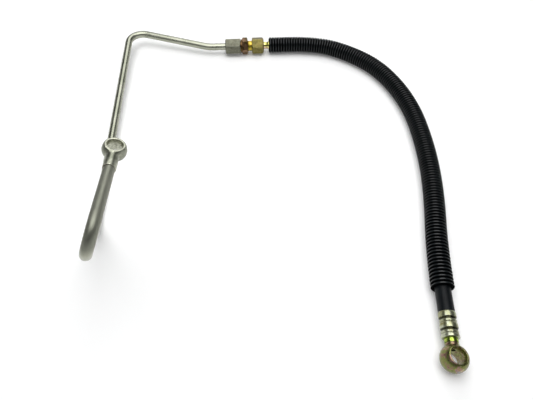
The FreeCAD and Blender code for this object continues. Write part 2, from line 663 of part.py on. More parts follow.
# The hose, its sleeve and the lower fitting.
route = [surface_point + point for point in HOSE_ROUTE]
radii = cord_radii(route)
print("cord radii, mm:", [round(value, 1) for value in radii])
last_run = (route[-1] - route[-2]).normalize()
inside_upper = Vector(size("ferrule_start") + size("ferrule_lip") + size("tail_clearance"), 0, 0)
layer_start = union_frame.multVec(inside_upper)
tail_length = size("ferrule_length") - size("ferrule_lip") - size("tail_clearance")
layer_end = route[-1] + last_run * tail_length
long_route = [layer_start] + route[1:-1] + [layer_end]
tubes = {"steel_pipe": pipe_tube}
tubes["hose_liner"] = tube("hose_liner", long_route, radii, "liner_inner", "liner_outer")
tubes["hose_braid"] = tube("hose_braid", long_route, radii, "braid_inner", "braid_outer")
tubes["hose_cover"] = tube("hose_cover", route, radii, "cover_inner", "cover_outer")
sleeve_first = union_frame.multVec(Vector(size("sleeve_start"), 0, 0))
sleeve_last = route[-1] - last_run * size("sleeve_stop")
sleeve_route = [sleeve_first] + route[1:-1] + [sleeve_last]
sleeve = tube("protective_sleeve", sleeve_route, radii, "sleeve_inner", "sleeve_outer")
tubes["protective_sleeve"] = sleeve

lower_frame = aimed(route[-1], last_run, Vector(0, 0, 1))
crimped_ferrule("lower_ferrule", lower_frame)
make_lower_nipple(lower_frame)
turned(
    "lower_braze_ring",
    lower_frame,
    [
        ("Dims.neck_end", radius("spigot_outer")),
        ("Dims.neck_end", radius("braze_outer")),
        ("Dims.neck_end + Dims.braze_width", radius("braze_outer")),
        ("Dims.neck_end + Dims.braze_width", radius("spigot_outer")),
    ],
)
hose_eye_centre = route[-1] + last_run * size("hose_eye_reach")
make_eye(
    "hose_banjo_eye",
    eye_frame(hose_eye_centre, last_run * -1, size("hose_eye_tilt")),
    "Dims.hose_eye_reach - Dims.neck_end - Dims.braze_width",
    "Dims.neck_outer",
    "Dims.spigot_outer",
    size("hose_eye_reach") - size("spigot_end"),
    [],
)

doc.recompute()
faults = [item.Name for item in doc.Objects if {"Invalid", "Error"} & set(item.State)]
for node, thing in sub_parts.items():
    if thing.Shape.isNull() or not thing.Shape.isValid() or thing.Shape.Volume <= 0:
        faults.append(node)
if faults:
    raise SystemExit(f"failed objects: {faults}")

os.makedirs("parts", exist_ok=True)
box = FreeCAD.BoundBox()
CORD_NODES = ("hose_liner", "hose_braid", "hose_cover", "protective_sleeve")
for node, thing in sub_parts.items():
    thing.Shape.exportStep(f"parts/{node}.step")
    print(f"{node}: {len(thing.Shape.Solids)} solid, {thing.Shape.Volume:.1f} mm3")
    if node not in CORD_NODES:
        box.add(thing.Shape.optimalBoundingBox(False, False))
for node, (thing, expected, length) in tubes.items():
    print(f"{node}: volume {thing.Shape.Volume:.1f}, section x length {expected:.1f}, length {length:.1f}")
print("fittings' box, middle and bottom:", box.Center.x, box.Center.y, box.ZMin, "size",
      box.XLength, box.YLength, box.ZLength)
print("pipe eye centre:", pipe_eye_centre, "bore", pipe_eye.Rotation.multVec(Vector(0, 0, 1)))
print("hose eye centre:", hose_eye_centre, "axis", last_run)
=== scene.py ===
"""How the hydraulic hose assembly looks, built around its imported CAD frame, in metres.

Most pieces are skins turned about a line: a straight axis for the fittings, and the hose's own spline
for what lies along it. A turned skin's outline is in millimetres, as on a drawing. The CAD nodes whose
shape is right stay, with a material of their own.
"""

import bisect
import json
import math

import bmesh
import bpy
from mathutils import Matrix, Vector


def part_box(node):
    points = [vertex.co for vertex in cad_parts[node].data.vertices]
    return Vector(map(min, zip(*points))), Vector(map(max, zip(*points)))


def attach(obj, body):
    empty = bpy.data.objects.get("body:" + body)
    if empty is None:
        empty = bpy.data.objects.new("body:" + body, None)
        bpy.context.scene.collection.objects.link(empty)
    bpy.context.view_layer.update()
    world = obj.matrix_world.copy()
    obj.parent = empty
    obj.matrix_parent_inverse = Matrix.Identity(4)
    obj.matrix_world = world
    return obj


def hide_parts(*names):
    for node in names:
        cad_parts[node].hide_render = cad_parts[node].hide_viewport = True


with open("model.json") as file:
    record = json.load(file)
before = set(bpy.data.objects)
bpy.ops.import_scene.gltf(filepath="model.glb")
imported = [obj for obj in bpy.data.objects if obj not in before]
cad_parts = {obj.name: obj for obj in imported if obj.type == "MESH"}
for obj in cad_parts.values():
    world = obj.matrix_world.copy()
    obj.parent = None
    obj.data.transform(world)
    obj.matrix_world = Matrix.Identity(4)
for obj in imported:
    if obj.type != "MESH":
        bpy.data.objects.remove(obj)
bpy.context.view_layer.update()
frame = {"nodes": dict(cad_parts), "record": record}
nodes = frame["nodes"]
MM = 0.001
UP = Vector((0, 0, 1))
# How much a skin's second texture coordinate grows per millimetre along its piece.
SKIN_PER_MM = 0.01

# Fittings along the union's axis, in millimetres from the union's centre.
AXIS_HEIGHT = 9.8
UNION_PIPE_END = 13.5
UNION_HOSE_END = 16.7
HEX_FLATS = 17.0
HEX_CHAMFER = 8.2
THREAD_MAJOR = 7.0
THREAD_MINOR = 6.15
THREAD_PITCH = 1.5
THREAD_GAP = 0.1
FERRULE_START = 29.3
FERRULE_LENGTH = 20.2
FERRULE_LIP = 2.4
STEM = 4.0
CONE_MOUTH = 5.1
# The sealing cone has an included angle of 24 degrees.
CONE_SLOPE = 0.2126
CONE_GAP = 0.06
NIPPLE_BORE = 2.0
TAIL_CREST = 3.12
TAIL_GROOVE = 2.8
TAIL_TIP = 2.85
NIPPLE_COLLAR = 4.4

# The hose's layers as (inner, outer) radii and its sleeve, in millimetres.
HOSE_COVER = (5.4, 6.25)
HOSE_BRAID = (4.55, 5.3)
HOSE_LINER = (3.15, 4.45)
SLEEVE_ROOT = 7.9
SLEEVE_CROWN = 9.22
SLEEVE_WALL = 0.65
SLEEVE_PITCH = 3.18
SLEEVE_START = 29.0
SLEEVE_STOP = 20.5
# Between a ferrule's lip and the end of the hose inside it.
HOSE_END_GAP = 1.6
LAYER_START = FERRULE_START + FERRULE_LIP + HOSE_END_GAP

# The free hose from ferrule mouth to ferrule mouth, in metres: its spline's control points from the
# place on the surface below the union's centre.
HOSE_ROUTE = [
    (0.0495, 0.0, 0.0098),
    (0.0885, 0.0, 0.0098),
    (0.1315, -0.0254, 0.00925),
    (0.1592, -0.0595, 0.00925),
    (0.1760, -0.1145, 0.00925),
    (0.1765, -0.1750, 0.00925),
    (0.1695, -0.2320, 0.00925),
    (0.1533, -0.3000, 0.00925),
    (0.1469, -0.3494, 0.00925),
]

# Where the CAD put things.
union_low, union_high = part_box("union_body")
union = Vector((union_low.x + UNION_PIPE_END * MM, (union_low.y + union_high.y) / 2, 0))
union_centre = union + UP * AXIS_HEIGHT * MM
mounts = {mount["name"]: mount for mount in frame["record"]["mounts"]}


def look_camera():
    """The camera, 340 mm above the surface, looking down at the assembly from its front."""
    data = bpy.data.cameras.new("camera")
    data.lens = 30.39
    data.sensor_width = 36.0
    camera = bpy.data.objects.new("camera", data)
    camera.location = union + Vector((0.0012, -0.4776, 0.340))
    camera.rotation_euler = (math.radians(36.4), 0, math.radians(-3.0))
    bpy.context.scene.collection.objects.link(camera)
    bpy.context.scene.camera = camera


def spline_points(route):
    """The points of the smooth spline whose control points are the route."""
    curve = bpy.data.curves.new("hose_route", "CURVE")
    curve.dimensions = "3D"
    curve.resolution_u = 40
    spline = curve.splines.new("NURBS")
    spline.points.add(len(route) - 1)
    for point, place in zip(spline.points, route):
        point.co = (*(union + Vector(place)), 1)
    spline.order_u = 3
    spline.use_endpoint_u = True
    line = bpy.data.objects.new("hose_route", curve)
    mesh = bpy.data.meshes.new_from_object(line)
    points = [vertex.co.copy() for vertex in mesh.vertices]
    bpy.data.objects.remove(line)
    bpy.data.meshes.remove(mesh)
    return points


def along_points(points):
    """A place on a line of points: millimetres from its start to (centre, side, lift)."""
    lengths = [0.0]
    for k in range(1, len(points)):
        lengths.append(lengths[-1] + (points[k] - points[k - 1]).length / MM)

    def spot(where):
        k = min(max(bisect.bisect_right(lengths, where), 1), len(points) - 1)
        share = (where - lengths[k - 1]) / (lengths[k] - lengths[k - 1])
        return points[k - 1].lerp(points[k], share)

    def place(where):
        # The direction is taken over 3 mm, which smooths the joins between the line's short runs.
        tangent = (spot(where + 1.5) - spot(where - 1.5)).normalized()
        side = UP.cross(tangent).normalized()
        return spot(where), side, tangent.cross(side)

    return place, lengths[-1]


def along_axis(origin, axis, side):
    """A place on a straight axis: millimetres from its origin to (centre, side, lift)."""
    lift = axis.cross(side)
    return lambda where: (origin + axis * where * MM, side, lift)


# ---- skins turned about a line ------------------------------------------------------------------


def evenly(count):
    """Angles spread evenly round a circle."""
    return [math.tau * k / count for k in range(count)]


COARSE_ROUND = evenly(48)
ROUND = evenly(64)
FINE_ROUND = evenly(96)


def value(item, angle):
    """An outline's number, which may be a function of the angle."""
    return item(angle) if callable(item) else item


def soften(outline):
    """An outline's points, with each corner that has a third number rounded by that much."""
    points = []
    count = len(outline)
    for k, (x, r, soft) in enumerate(outline):
        here = Vector((x, r))
        if not soft:
            points.append(here)
            continue
        back = Vector(outline[k - 1][:2]) - here
        ahead = Vector(outline[(k + 1) % count][:2]) - here
        start = here + back.normalized() * min(soft, 0.45 * back.length)
        end = here + ahead.normalized() * min(soft, 0.45 * ahead.length)
        points += [start, (start + end + here * 2) / 4, end]
    return points


def turned(name, place, outline, angles=ROUND):
    """A closed skin: an outline of (along, radius[, rounding]) turned about a line.

    Along and radius may be functions of the angle, which is how flats, threads and crimps are made.
    """
    verts, spins, runs = [], [], []
    places = {}
    for angle in angles:
        row = [(value(e[0], angle), value(e[1], angle), e[2] if len(e) > 2 else 0) for e in outline]
        for x, r in soften(row):
            if x not in places:
                places[x] = place(x)
            centre, side, lift = places[x]
            verts.append(centre + (side * math.cos(angle) + lift * math.sin(angle)) * r * MM)
            spins.append(angle / math.tau)
            runs.append(x)
    per_row = len(verts) // len(angles)
    faces = []
    for a in range(len(angles)):
        here = a * per_row
        beside = (a + 1) % len(angles) * per_row
        for k in range(per_row):
            after = (k + 1) % per_row
            faces.append((here + k, here + after, beside + after, beside + k))
    mesh = bpy.data.meshes.new(name)
    mesh.from_pydata(verts, [], faces)
    layer = mesh.uv_layers.new(name="skin")
    for loop in mesh.loops:
        layer.data[loop.index].uv = (spins[loop.vertex_index], runs[loop.vertex_index] * SKIN_PER_MM)
    return finished(name, mesh)


def finished(name, mesh, sharp=38):
    """An object with that mesh: normals out, smooth, and crisp where faces meet at an angle."""
    work = bmesh.new()
    work.from_mesh(mesh)
    bmesh.ops.recalc_face_normals(work, faces=work.faces)
    work.to_mesh(mesh)
    work.free()
    for polygon in mesh.polygons:
        polygon.use_smooth = True
    mesh.set_sharp_from_angle(angle=math.radians(sharp))
    thing = bpy.data.objects.new(name, mesh)
    bpy.context.scene.collection.objects.link(thing)
    return thing


def dress(thing, material, slot, body, *stands_for):
    """Give a piece its material, its body and the CAD nodes that it stands for; the slot is not used.
    """
    thing.data.materials.clear()
    thing.data.materials.append(material)
    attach(thing, body)
    if stands_for:
        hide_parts(*stands_for)
    return thing


# ---- materials ----------------------------------------------------------------------------------


def new_material(name, **constants):
    """A material and its Principled node, with constant sockets set by name."""
    material = bpy.data.materials.new(name)
    material.use_nodes = True
    surface = material.node_tree.nodes["Principled BSDF"]
    for socket, number in constants.items():
        surface.inputs[socket.replace("_", " ")].default_value = number
    return material, surface


def add(material, kind, sockets, **settings):
    """A node with its settings and sockets; a socket's value is a number, a colour or an output."""
    node = material.node_tree.nodes.new(kind)
    for setting, choice in settings.items():
        setattr(node, setting, choice)
    for socket, source in sockets.items():
        if isinstance(source, bpy.types.NodeSocket):
            material.node_tree.links.new(source, node.inputs[socket])
        else:
            node.inputs[socket].default_value = source
    return node


def link(material, source, node, socket):
    """Join an output to a node's socket."""
    material.node_tree.links.new(source, node.inputs[socket])


def object_place(material, stretch=(1, 1, 1)):
    """The place on the object in metres, stretched."""
    place = add(material, "ShaderNodeTexCoord", {}).outputs["Object"]
    return add(material, "ShaderNodeMapping", {"Vector": place, "Scale": stretch}).outputs[0]


def skin_place(material):
    """The place on a turned skin: the share of a turn and the scaled distance along."""
    return add(material, "ShaderNodeUVMap", {}, uv_map="skin").outputs[0]


def split(material, place, letter):
    """One of the three numbers of a place."""
    return add(material, "ShaderNodeSeparateXYZ", {"Vector": place}).outputs[letter]


def calculate(material, operation, first, second=0.5):
    """Arithmetic on one or two numbers."""
    return add(material, "ShaderNodeMath", {0: first, 1: second}, operation=operation).outputs[0]


def noise(material, place, scale, detail=3.0, roughness=0.55):
    """Cloudy noise over a place; the scale says how many features fit in one unit of it."""
    sockets = {"Vector": place, "Scale": scale, "Detail": detail, "Roughness": roughness}
    return add(material, "ShaderNodeTexNoise", sockets).outputs["Fac"]


def ramp(material, factor, stops):
    """A colour ramp: stops are (place, colour)."""
    node = add(material, "ShaderNodeValToRGB", {"Fac": factor})
    elements = node.color_ramp.elements
    while len(elements) < len(stops):
        elements.new(0.5)
    for element, (where, colour) in zip(elements, stops):
        element.position = where
        element.color = (*colour, 1)
    return node.outputs["Color"]


def span(material, factor, low, high, start=0.3, end=0.7):
    """A factor between start and end mapped to low and high."""
    sockets = {"Value": factor, "From Min": start, "From Max": end, "To Min": low, "To Max": high}
    return add(material, "ShaderNodeMapRange", sockets).outputs["Result"]


def mix(material, factor, first, second, blend="MIX"):
    """Two colours mixed by a factor."""
    sockets = {0: factor, 6: first, 7: second}
    node = add(material, "ShaderNodeMix", sockets, data_type="RGBA", blend_type=blend)
    return node.outputs[2]


def along_piece(material, tints):
    """A colour that changes along a turned piece: tints are (millimetres, colour)."""
    run = split(material, skin_place(material), "Y")
    first, last = tints[0][0], tints[-1][0]
    share = span(material, run, 0.0, 1.0, first * SKIN_PER_MM, last * SKIN_PER_MM)
    return ramp(material, share, [((x - first) / (last - first), colour) for x, colour in tints])


def bump(material, surface, height, strength, distance, below=None):
    """Raise the surface by a height of 0 to 1, over the bumps below it; the distance is in metres."""
    sockets = {"Height": height, "Strength": strength, "Distance": distance}
    if below is not None:
        sockets["Normal"] = below
    node = add(material, "ShaderNodeBump", sockets)
    link(material, node.outputs[0], surface, "Normal")
    return node.outputs[0]


def plated(name, patches, worn, rough=(0.24, 0.42), patch_scale=160, grain_scale=1500, grain=0.12,
           tints=None):
    """Plated steel: cloudy patches of colour, fine grain, dark pits and worn edges.

    Tints are (millimetres along the piece, colour) and multiply what lies there, such as painted shade
    in grooves.
    """
    material, surface = new_material(name, Metallic=1.0)
    place = object_place(material)
    cloud = noise(material, place, patch_scale, 4.0, 0.6)
    colour = ramp(material, cloud, patches)
    pits = noise(material, place, grain_scale * 0.6, 2.0)
    pitted = span(material, pits, 0.0, 0.3, 0.64, 0.78)
    dark = tuple(0.3 * channel for channel in patches[0][1])
    colour = mix(material, pitted, colour, (*dark, 1))
    edge = add(material, "ShaderNodeNewGeometry", {}).outputs["Pointiness"]
    scuffs = noise(material, place, 700, 3.0)
    wear = span(material, edge, 0.0, 1.0, 0.515, 0.56)
    broken = span(material, scuffs, 0.15, 1.0, 0.35, 0.6)
    amount = calculate(material, "MULTIPLY", wear, broken)
    colour = mix(material, amount, colour, (*worn, 1))
    # Tints may carry painted shade, as the ferrule's grooves do.
    if tints:
        colour = mix(material, 1.0, colour, along_piece(material, tints), "MULTIPLY")
    link(material, colour, surface, "Base Color")
    smear = noise(material, place, 260, 5.0, 0.7)
    link(material, span(material, smear, *rough), surface, "Roughness")
    fine = noise(material, place, grain_scale, 3.0, 0.6)
    bump(material, surface, fine, grain, 0.00006)
    return material


def pipe_steel():
    """Drawn steel tube: satin, with cloudy handling marks, faint spots and fine scratches.

    Its raised leg is darker, which is painted shade, and duller; the change lies between the two leg
    heights, in metres.
    """
    leg_heights = (0.099, 0.106)
    material, surface = new_material("pipe_steel", Metallic=1.0, Anisotropic=0.35)
    place = object_place(material)
    cloud = noise(material, place, 45, 5.0, 0.6)
    stops = [(0.30, (0.25, 0.26, 0.20)), (0.50, (0.33, 0.34, 0.27)), (0.72, (0.41, 0.41, 0.34))]
    height = split(material, place, "Z")
    # The raised leg's darker colour is painted shade.
    leg_painted_shade = span(material, height, 0.0, 0.7, *leg_heights)
    colour = mix(material, leg_painted_shade, ramp(material, cloud, stops), (0.17, 0.175, 0.145, 1))
    spots = noise(material, place, 620, 2.0)
    spotted = span(material, spots, 0.0, 0.18, 0.66, 0.76)
    colour = mix(material, spotted, colour, (0.22, 0.20, 0.15, 1))
    link(material, colour, surface, "Base Color")
    smear = noise(material, place, 90, 6.0, 0.7)
    satin = span(material, smear, 0.22, 0.34)
    duller = span(material, height, 0.0, 0.2, *leg_heights)
    link(material, calculate(material, "ADD", satin, duller), surface, "Roughness")
    scratches = noise(material, object_place(material, (1, 0.05, 1)), 2600, 2.0)
    fine = noise(material, place, 1800, 3.0)
    first = bump(material, surface, fine, 0.10, 0.00005)
    bump(material, surface, scratches, 0.10, 0.00005, first)
    return material


def rubber(name, colour, rough, streaks=0.0):
    """Black rubber or plastic, a little uneven, with faint grey scuffs along it."""
    material, surface = new_material(name)
    surface.inputs["Specular IOR Level"].default_value = 0.16
    place = object_place(material)
    skin = skin_place(material)
    cloud = noise(material, place, 120, 4.0)
    lighter = tuple(2.1 * channel for channel in colour)
    base = ramp(material, cloud, [(0.35, colour), (0.75, lighter)])
    along = add(material, "ShaderNodeMapping", {"Vector": skin, "Scale": (40, 0.6, 1)}).outputs[0]
    lines = noise(material, along, 6.0, 3.0)
    scuffed = span(material, lines, 0.0, streaks, 0.58, 0.72)
    base = mix(material, scuffed, base, (0.03, 0.032, 0.034, 1))
    link(material, base, surface, "Base Color")
    smear = noise(material, place, 300, 4.0)
    link(material, span(material, smear, *rough), surface, "Roughness")
    bump(material, surface, noise(material, place, 2200, 3.0), 0.05, 0.00004)
    return material


def ribbed_plastic(name, groove, crest, pitch):
    """Black plastic with ribs at a pitch: glossier on the crests than in the grooves, with a paler
    colour on the crests as painted highlight and a near-black colour in the grooves as painted shade.
    """
    material, surface = new_material(name)
    surface.inputs["Specular IOR Level"].default_value = 0.02
    surface.inputs["Coat Roughness"].default_value = 0.16
    place = object_place(material)
    run = split(material, skin_place(material), "Y")
    turns = calculate(material, "MULTIPLY", run, 1 / (SKIN_PER_MM * pitch))
    share = calculate(material, "FRACT", turns)
    # How much of the crest shows by the share of a rib's pitch; the outline's crest is at 0.60 too.
    rise = [(0.0, 0.0), (0.34, 0.0), (0.50, 0.8), (0.60, 1.0), (0.70, 0.8), (0.88, 0.0)]
    height = ramp(material, share, [(where, (h, h, h)) for where, h in rise])
    dusty = noise(material, place, 90, 4.0)
    # The crest colour is a painted highlight; its paler copy shows where the dusty noise is high.
    worn = tuple(1.7 * channel for channel in crest)
    crest_highlight = ramp(material, dusty, [(0.35, crest), (0.70, worn)])
    # The painted highlight goes on the crests and the painted shade in the grooves.
    link(material, mix(material, height, (*groove, 1), crest_highlight), surface, "Base Color")
    link(material, span(material, height, 0.8, 0.4, 0.0, 1.0), surface, "Roughness")
    link(material, span(material, height, 0.0, 0.95, 0.5, 1.0), surface, "Coat Weight")
    return material


def braid_wire():
    """Woven wire: two sets of diagonal wires over and under each other."""
    material, surface = new_material("braid_wire", Metallic=1.0, Roughness=0.34)
    skin = skin_place(material)
    waves = []
    for turn in (1, -1):
        sockets = {"Vector": skin, "Rotation": (0, 0, turn * 0.62), "Scale": (24, 90, 1)}
        lean = add(material, "ShaderNodeMapping", sockets).outputs[0]
        wave = add(material, "ShaderNodeTexWave", {"Vector": lean, "Scale": 1.0}, wave_profile="SIN")
        waves.append(wave.outputs["Fac"])
    woven = calculate(material, "MAXIMUM", *waves)
    stops = [(0.2, (0.10, 0.09, 0.08)), (0.75, (0.55, 0.54, 0.50)), (1.0, (0.75, 0.74, 0.70))]
    link(material, ramp(material, woven, stops), surface, "Base Color")
    bump(material, surface, woven, 0.5, 0.0002)
    return material


def floor_white():
    """The floor's matt white, which glows faintly so that shadows stay pale."""
    material, surface = new_material("floor_white", Roughness=0.75)
    surface.inputs["Specular IOR Level"].default_value = 0.1
    surface.inputs["Emission Color"].default_value = (1, 1, 1, 1)
    surface.inputs["Emission Strength"].default_value = 0.12
    cloud = noise(material, object_place(material), 6, 2.0)
    stops = [(0.3, (0.90, 0.90, 0.90)), (0.7, (0.92, 0.92, 0.92))]
    link(material, ramp(material, cloud, stops), surface, "Base Color")
    return material


def make_floor():
    """A pale square floor, just under the part."""
    mesh = bpy.data.meshes.new("floor")
    reach = 1.5
    corners = [(-reach, -reach, 0), (reach, -reach, 0), (reach, reach, 0), (-reach, reach, 0)]
    mesh.from_pydata(corners, [], [(0, 1, 2, 3)])
    mesh.materials.append(floor_white())
    floor = bpy.data.objects.new("floor", mesh)
    floor.location.z = -0.00005
    bpy.context.scene.collection.objects.link(floor)


def make_lamps():
    """A broad soft lamp overhead, one behind, and a weak one at the front left."""
    # Each lamp's name, place and width in metres, and power in watts.
    lamps = [
        ("key", (0.0, 0.0, 1.15), 1.2, 14.0),
        ("fill", (-0.9, -0.7, 0.9), 0.8, 0.6),
        ("back", (0.12, 1.05, 0.92), 0.9, 5.5),
    ]
    target = Vector((0.02, 0.0, 0.0))
    for name, spot, width, watts in lamps:
        data = bpy.data.lights.new(name, "AREA")
        data.size = width
        data.energy = watts
        lamp = bpy.data.objects.new(name, data)
        lamp.location = spot
        aim = target - Vector(spot)
        lamp.rotation_euler = aim.to_track_quat("-Z", "Y").to_euler()
        bpy.context.scene.collection.objects.link(lamp)


def make_world():
    """The light from all round: pale walls near the horizon under a dim ceiling."""
    world = bpy.data.worlds.new("studio")
    world.use_nodes = True
    direction = add(world, "ShaderNodeTexCoord", {}).outputs["Generated"]
    height = split(world, direction, "Z")
    wall = (0.75, 0.76, 0.77)
    light = ramp(world, height, [(0.0, wall), (0.13, wall), (0.24, (0.105, 0.108, 0.11))])
    link(world, light, world.node_tree.nodes["Background"], "Color")
    bpy.context.scene.world = world
    # The plain view transform keeps the floor white and the rubber black.
    bpy.context.scene.view_settings.view_transform = "Standard"


look_camera()
make_floor()
make_lamps()
make_world()

# ---- the hose and what lies along it ------------------------------------------------------------

free_points = spline_points(HOSE_ROUTE)
first_run = (free_points[1] - free_points[0]).normalized()
last_run = (free_points[-1] - free_points[-2]).normalized()
mouth_upper = free_points[0]
mouth_lower = free_points[-1]

# The whole line runs from the sleeve's start to the end of the hose inside the lower ferrule.
ferrule_mouth = FERRULE_START + FERRULE_LENGTH - SLEEVE_START
inside_lower = (FERRULE_LENGTH - FERRULE_LIP - HOSE_END_GAP) * MM
whole_points = [mouth_upper - first_run * (ferrule_mouth * MM)] + free_points
whole_points.append(mouth_lower + last_run * inside_lower)

cover_place, cover_length = along_points(free_points)
whole_place, whole_length = along_points(whole_points)
sleeve_length = ferrule_mouth + cover_length - SLEEVE_STOP
rib_count = int(sleeve_length / SLEEVE_PITCH)
rib_pitch = sleeve_length / rib_count


def steps(start, end, count):
    """Numbers from start to end, both included, in equal steps."""
    return [start + (end - start) * k / count for k in range(count + 1)]


def plain_tube(name, place, start, end, radii):
    """A smooth tube along a line, in steps of about 2.5 mm."""
    inner, outer = radii
    runs = steps(start, end, int((end - start) / 2.5))
    outline = [(x, outer) for x in runs] + [(x, inner) for x in reversed(runs)]
    return turned(name, place, outline, COARSE_ROUND)


def sleeve_outline():
    """The convoluted sleeve's outline: rounded ribs with narrow grooves, and a thin wall.

    A rib's points are (share of the pitch, share of the rise from root to crown).
    """
    rib = [(0.0, 0.0), (0.22, 0.0), (0.27, 0.42), (0.34, 0.74), (0.45, 0.94)]
    rib += [(0.60, 1.0), (0.75, 0.94), (0.86, 0.74), (0.93, 0.42)]
    lining = [(0.1, 0.0), (0.36, 0.7), (0.60, 1.0), (0.84, 0.7)]
    rise = SLEEVE_CROWN - SLEEVE_ROOT
    root_inside = SLEEVE_ROOT - SLEEVE_WALL
    outside, inside = [], []
    for k in range(rib_count):
        outside += [((k + x) * rib_pitch, SLEEVE_ROOT + rise * h) for x, h in rib]
        inside += [((k + x) * rib_pitch, root_inside + rise * h) for x, h in lining]
    outside.append((sleeve_length, SLEEVE_ROOT))
    inside[0] = (0.0, root_inside)
    inside.append((sleeve_length, root_inside))
    return outside + inside[::-1]


cover = plain_tube("hose_cover_rubber", cover_place, 0.0, cover_length, HOSE_COVER)
dress(cover, rubber("cover_rubber", (0.0012, 0.0024, 0.0034), (0.38, 0.52), 0.3),
      "cover_rubber", "hose", "hose_cover")
layer_start = LAYER_START - SLEEVE_START
braid = plain_tube("hose_braid_wire", whole_place, layer_start, whole_length, HOSE_BRAID)
dress(braid, braid_wire(), "braid_wire", "hose", "hose_braid")
liner = plain_tube("hose_liner_rubber", whole_place, layer_start, whole_length, HOSE_LINER)
dress(liner, rubber("liner_rubber", (0.02, 0.02, 0.02), (0.5, 0.65)), "liner_rubber", "hose",
      "hose_liner")
sleeve = turned("protective_sleeve_ribbed", whole_place, sleeve_outline(), COARSE_ROUND)
# The sleeve's crest colour is a painted highlight and its groove colour painted shade.
sleeve_plastic = ribbed_plastic("sleeve_plastic", groove=(0.0002, 0.0004, 0.0006),
                                crest=(0.007, 0.009, 0.010), pitch=rib_pitch)
dress(sleeve, sleeve_plastic, "sleeve_plastic", "hose", "protective_sleeve")

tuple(mouth_upper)

# ---- the union and its nuts ---------------------------------------------------------------------

union_place = along_axis(union_centre, Vector((1, 0, 0)), Vector((0, 1, 0)))


def hex_angles(corner):
    """Angles round a hexagon, close together beside its corners."""
    sector = (-30, -29.2, -28.4, -24, -18, -12, -6, 0, 6, 12, 18, 24, 28.4, 29.2)
    return [math.radians(corner + 30 + 60 * k + a) for k in range(6) for a in sector]


def hex_radius(corner):
    """A hexagon's radius by angle, with its corners slightly cut off."""
    widest = HEX_FLATS / 2 / math.cos(math.radians(29.0)) + 0.03

    def radius(angle):
        off = (math.degrees(angle) - corner) % 60 - 30
        return min(HEX_FLATS / 2 / math.cos(math.radians(off)), widest)

    return radius


def chamfered(place, inward, radius, start=HEX_CHAMFER):
    """Where a hexagon's flat meets its end chamfer of 30 degrees."""
    return lambda angle: place + inward * (radius(angle) - start) * math.tan(math.radians(30))


def thread(x, gap=0.0, start=None, end=None):
    """The radius of the M14 thread at a place by angle; it fades out over its first and last turn."""
    def radius(angle):
        phase = (x / THREAD_PITCH - angle / math.tau) % 1
        # Crest and root each take 0.2 of the pitch, and each flank 0.3.
        height = min(max((0.4 - abs(phase - 0.5)) / 0.3, 0), 1)
        if start is not None:
            height *= min(max((x - start) / THREAD_PITCH, 0), 1)
        if end is not None:
            height *= min(max((end - x) / THREAD_PITCH, 0), 1)
        return THREAD_MINOR + gap + (THREAD_MAJOR - THREAD_MINOR) * height

    return radius


def thread_run(first, last, **settings):
    """A thread's stations from one place to another, twelve to a turn."""
    count = round(abs(last - first) / THREAD_PITCH * 12)
    return [(x, thread(x, **settings)) for x in steps(first, last, count)]


def union_outline(corner):
    """The union, from its pipe end over the hexagon to its hose end, and back through the bore."""
    radius = hex_radius(corner)
    half = 3.4
    left, right = -UNION_PIPE_END, UNION_HOSE_END
    relief, collar, bore, pipe_socket = 5.8, 7.7, 3.0, 4.05
    outline = [(left, CONE_MOUTH, 0.1), (left, THREAD_MINOR - 0.1, 0.15)]
    outline += thread_run(left + 0.35, -6.2, start=left, end=-5.8)
    outline += [(-5.7, relief, 0.1), (-5.2, relief, 0.1), (-5.2, collar, 0.3), (-half, collar, 0.1)]
    outline += [(-half, HEX_CHAMFER, 0.1), (chamfered(-half, 1, radius), radius, 0.12)]
    outline += [(chamfered(half, -1, radius), radius, 0.12), (half, HEX_CHAMFER, 0.1)]
    outline += [(half, 6.6, 0.2), (half + 0.9, relief, 0.3), (8.1, relief, 0.1)]
    outline += thread_run(8.5, right - 0.35, start=8.1, end=right)
    outline += [(right, THREAD_MINOR - 0.1, 0.15), (right, CONE_MOUTH, 0.1)]
    outline += [(10.9, 3.87), (10.9, bore, 0.1), (-6.5, bore, 0.1)]
    outline += [(-6.5, pipe_socket), (-8.56, pipe_socket)]
    return outline


def nut_outline(sign, near, far, seat, corner, far_chamfer):
    """A nut from its open end to the end that holds the pipe or the stem.

    The sign is the side of the union that it is on. Near, far and seat are distances from the union's
    centre to its two ends and to the cone that presses on what it holds.
    """
    radius = hex_radius(corner)
    hole, chamber = 4.12, 7.05
    outline = [(sign * near, HEX_CHAMFER, 0.15), (chamfered(sign * near, sign, radius), radius, 0.15)]
    outline.append((chamfered(sign * far, -sign, radius, far_chamfer), radius, 0.2))
    outline += [(sign * far, far_chamfer, 0.3), (sign * far, 4.5, 0.1)]
    outline += [(sign * (far - 0.4), hole, 0.1), (sign * (seat + 1.95), hole, 0.1)]
    outline += [(sign * seat, 6.05), (sign * seat, chamber), (sign * (seat - 1.2), chamber)]
    run_out = sign * (seat - 1.4)
    mouth = sign * (near + 0.9)
    low, high = min(run_out, mouth), max(run_out, mouth)
    fade = {"start": low - 0.9, "end": high + 0.9}
    ridges = [(x, thread(x, gap=THREAD_GAP)) for x, _ in thread_run(run_out, mouth, **fade)]
    outline += ridges + [(sign * near, 7.4, 0.1)]
    return outline


# Palettes for plated pieces: (value of the cloudy noise, colour).
ZINC = [(0.30, (0.075, 0.075, 0.052)), (0.50, (0.112, 0.112, 0.078)), (0.72, (0.17, 0.17, 0.125))]
COPPER_BROWN = [(0.28, (0.10, 0.07, 0.02)), (0.43, (0.22, 0.16, 0.044)), (0.57, (0.60, 0.34, 0.20)),
                (0.74, (0.40, 0.32, 0.07))]
GOLD_OLIVE = [(0.28, (0.06, 0.040, 0.018)), (0.42, (0.10, 0.090, 0.024)), (0.55, (0.15, 0.13, 0.035)),
              (0.68, (0.13, 0.08, 0.04))]

